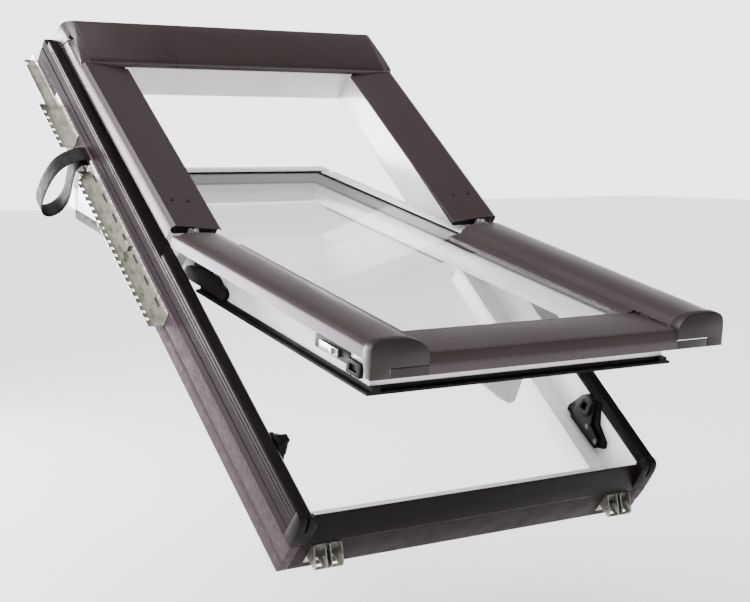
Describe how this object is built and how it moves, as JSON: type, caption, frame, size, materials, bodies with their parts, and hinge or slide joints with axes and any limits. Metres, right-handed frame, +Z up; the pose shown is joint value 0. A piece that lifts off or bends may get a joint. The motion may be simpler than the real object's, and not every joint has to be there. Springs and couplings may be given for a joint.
{
  "type": "centre-pivot roof window",
  "caption": "Pitched-roof window with a glazed sash tilting on side pivots, grey-brown flashing covers and hood, white lining, insulation collar, fixing brackets and a carrying strap.",
  "frame": {"origin": "middle of the lower front edge of the insulation collar, where the front face of the collar meets its underside", "axes": "+X across the slope to the right seen from the eaves, +Y level and towards the ridge, +Z up; the roof plane rises 41 degrees along +Y and the sash is stored 28.4 degrees open"},
  "size_m": [0.835, 1.1222, 0.879],
  "materials": {
    "white_pvc": "satin white extruded plastic",
    "collar_foam": "fine grained grey foam",
    "collar_dark": "smooth grey-brown moulding",
    "cover_metal": "satin grey-brown paint",
    "cap_plastic": "satin grey-brown plastic",
    "upstand_metal": "satin dark brown paint",
    "black_plastic": "satin black",
    "black_rubber": "matte black",
    "clear_glass": "clear",
    "spacer_metal": "brushed",
    "zinc": "galvanised",
    "hinge_steel": "plain steel",
    "black_webbing": "woven webbing",
    "handle_alu": "satin anodised"
  },
  "bodies": {
    "frame": {"bottom_rail": "white_pvc", "top_rail": "white_pvc", "left_jamb": "white_pvc", "right_jamb": "white_pvc", "bottom_collar": "collar_dark", "top_collar": "collar_dark", "left_collar": "collar_foam", "right_collar": "collar_foam", "left_upstand": "upstand_metal", "right_upstand": "upstand_metal", "left_upstand_cap": "black_plastic", "right_upstand_cap": "black_plastic", "left_corner": "black_plastic", "right_corner": "black_plastic", "bottom_gutter": "black_plastic", "left_stop": "black_rubber", "right_stop": "black_rubber", "top_stop": "black_rubber", "hood_carrier": "cover_metal", "hood": "cover_metal", "left_hood_cap": "cap_plastic", "right_hood_cap": "cap_plastic", "left_upper_cover": "cover_metal", "right_upper_cover": "cover_metal", "screws": "hinge_steel", "left_hinge_plate": "hinge_steel", "right_hinge_plate": "hinge_steel", "left_keeper": "black_plastic", "right_keeper": "black_plastic", "left_lower_bracket": "zinc", "left_upper_bracket": "zinc", "right_lower_bracket": "zinc", "right_upper_bracket": "zinc", "left_sill_clip": "zinc", "right_sill_clip": "zinc", "strap": "black_webbing"},
    "sash": {"left_stile": "white_pvc", "right_stile": "white_pvc", "sash_bottom_rail": "white_pvc", "sash_top_rail": "white_pvc", "outer_pane": "clear_glass", "inner_pane": "clear_glass", "spacer": "spacer_metal", "glazing_gasket": "black_rubber", "sash_seal": "black_rubber", "front_gasket": "black_rubber", "left_sash_cover": "cover_metal", "right_sash_cover": "cover_metal", "sash_bottom_cover": "cover_metal", "left_cover_cap": "cap_plastic", "right_cover_cap": "cap_plastic", "left_hinge_arm": "hinge_steel", "right_hinge_arm": "hinge_steel", "hinge_housings": "black_plastic", "lock_guides": "black_plastic", "handle_base": "handle_alu"},
    "handle": {"handle": "handle_alu"},
    "left_bolt": {"left_bolt": "hinge_steel"},
    "right_bolt": {"right_bolt": "hinge_steel"}
  },
  "joints": [
    {"name": "sash_tilt", "type": "hinge", "parent": "frame", "child": "sash", "pos_m": [0, 0.35674, 0.49959], "axis": [-1, 0, 0], "range_deg": [-28.4, 106.6]},
    {"name": "handle_turn", "type": "hinge", "parent": "sash", "child": "handle", "pos_m": [0.002, -0.11078, 0.29088], "axis": [0, 0.2181, -0.9759], "range_deg": [0, 90]},
    {"name": "left_bolt_slide", "type": "slide", "parent": "sash", "child": "left_bolt", "axis": [0, -0.9759, -0.2181], "range_m": [0, 0.0181]},
    {"name": "right_bolt_slide", "type": "slide", "parent": "sash", "child": "right_bolt", "axis": [0, -0.9759, -0.2181], "range_m": [0, 0.0181]}
  ],
  "couplings": [
    {"joint": "left_bolt_slide", "follows": "handle_turn", "m_per_rad": 0.011459},
    {"joint": "right_bolt_slide", "follows": "handle_turn", "m_per_rad": 0.011459}
  ]
}
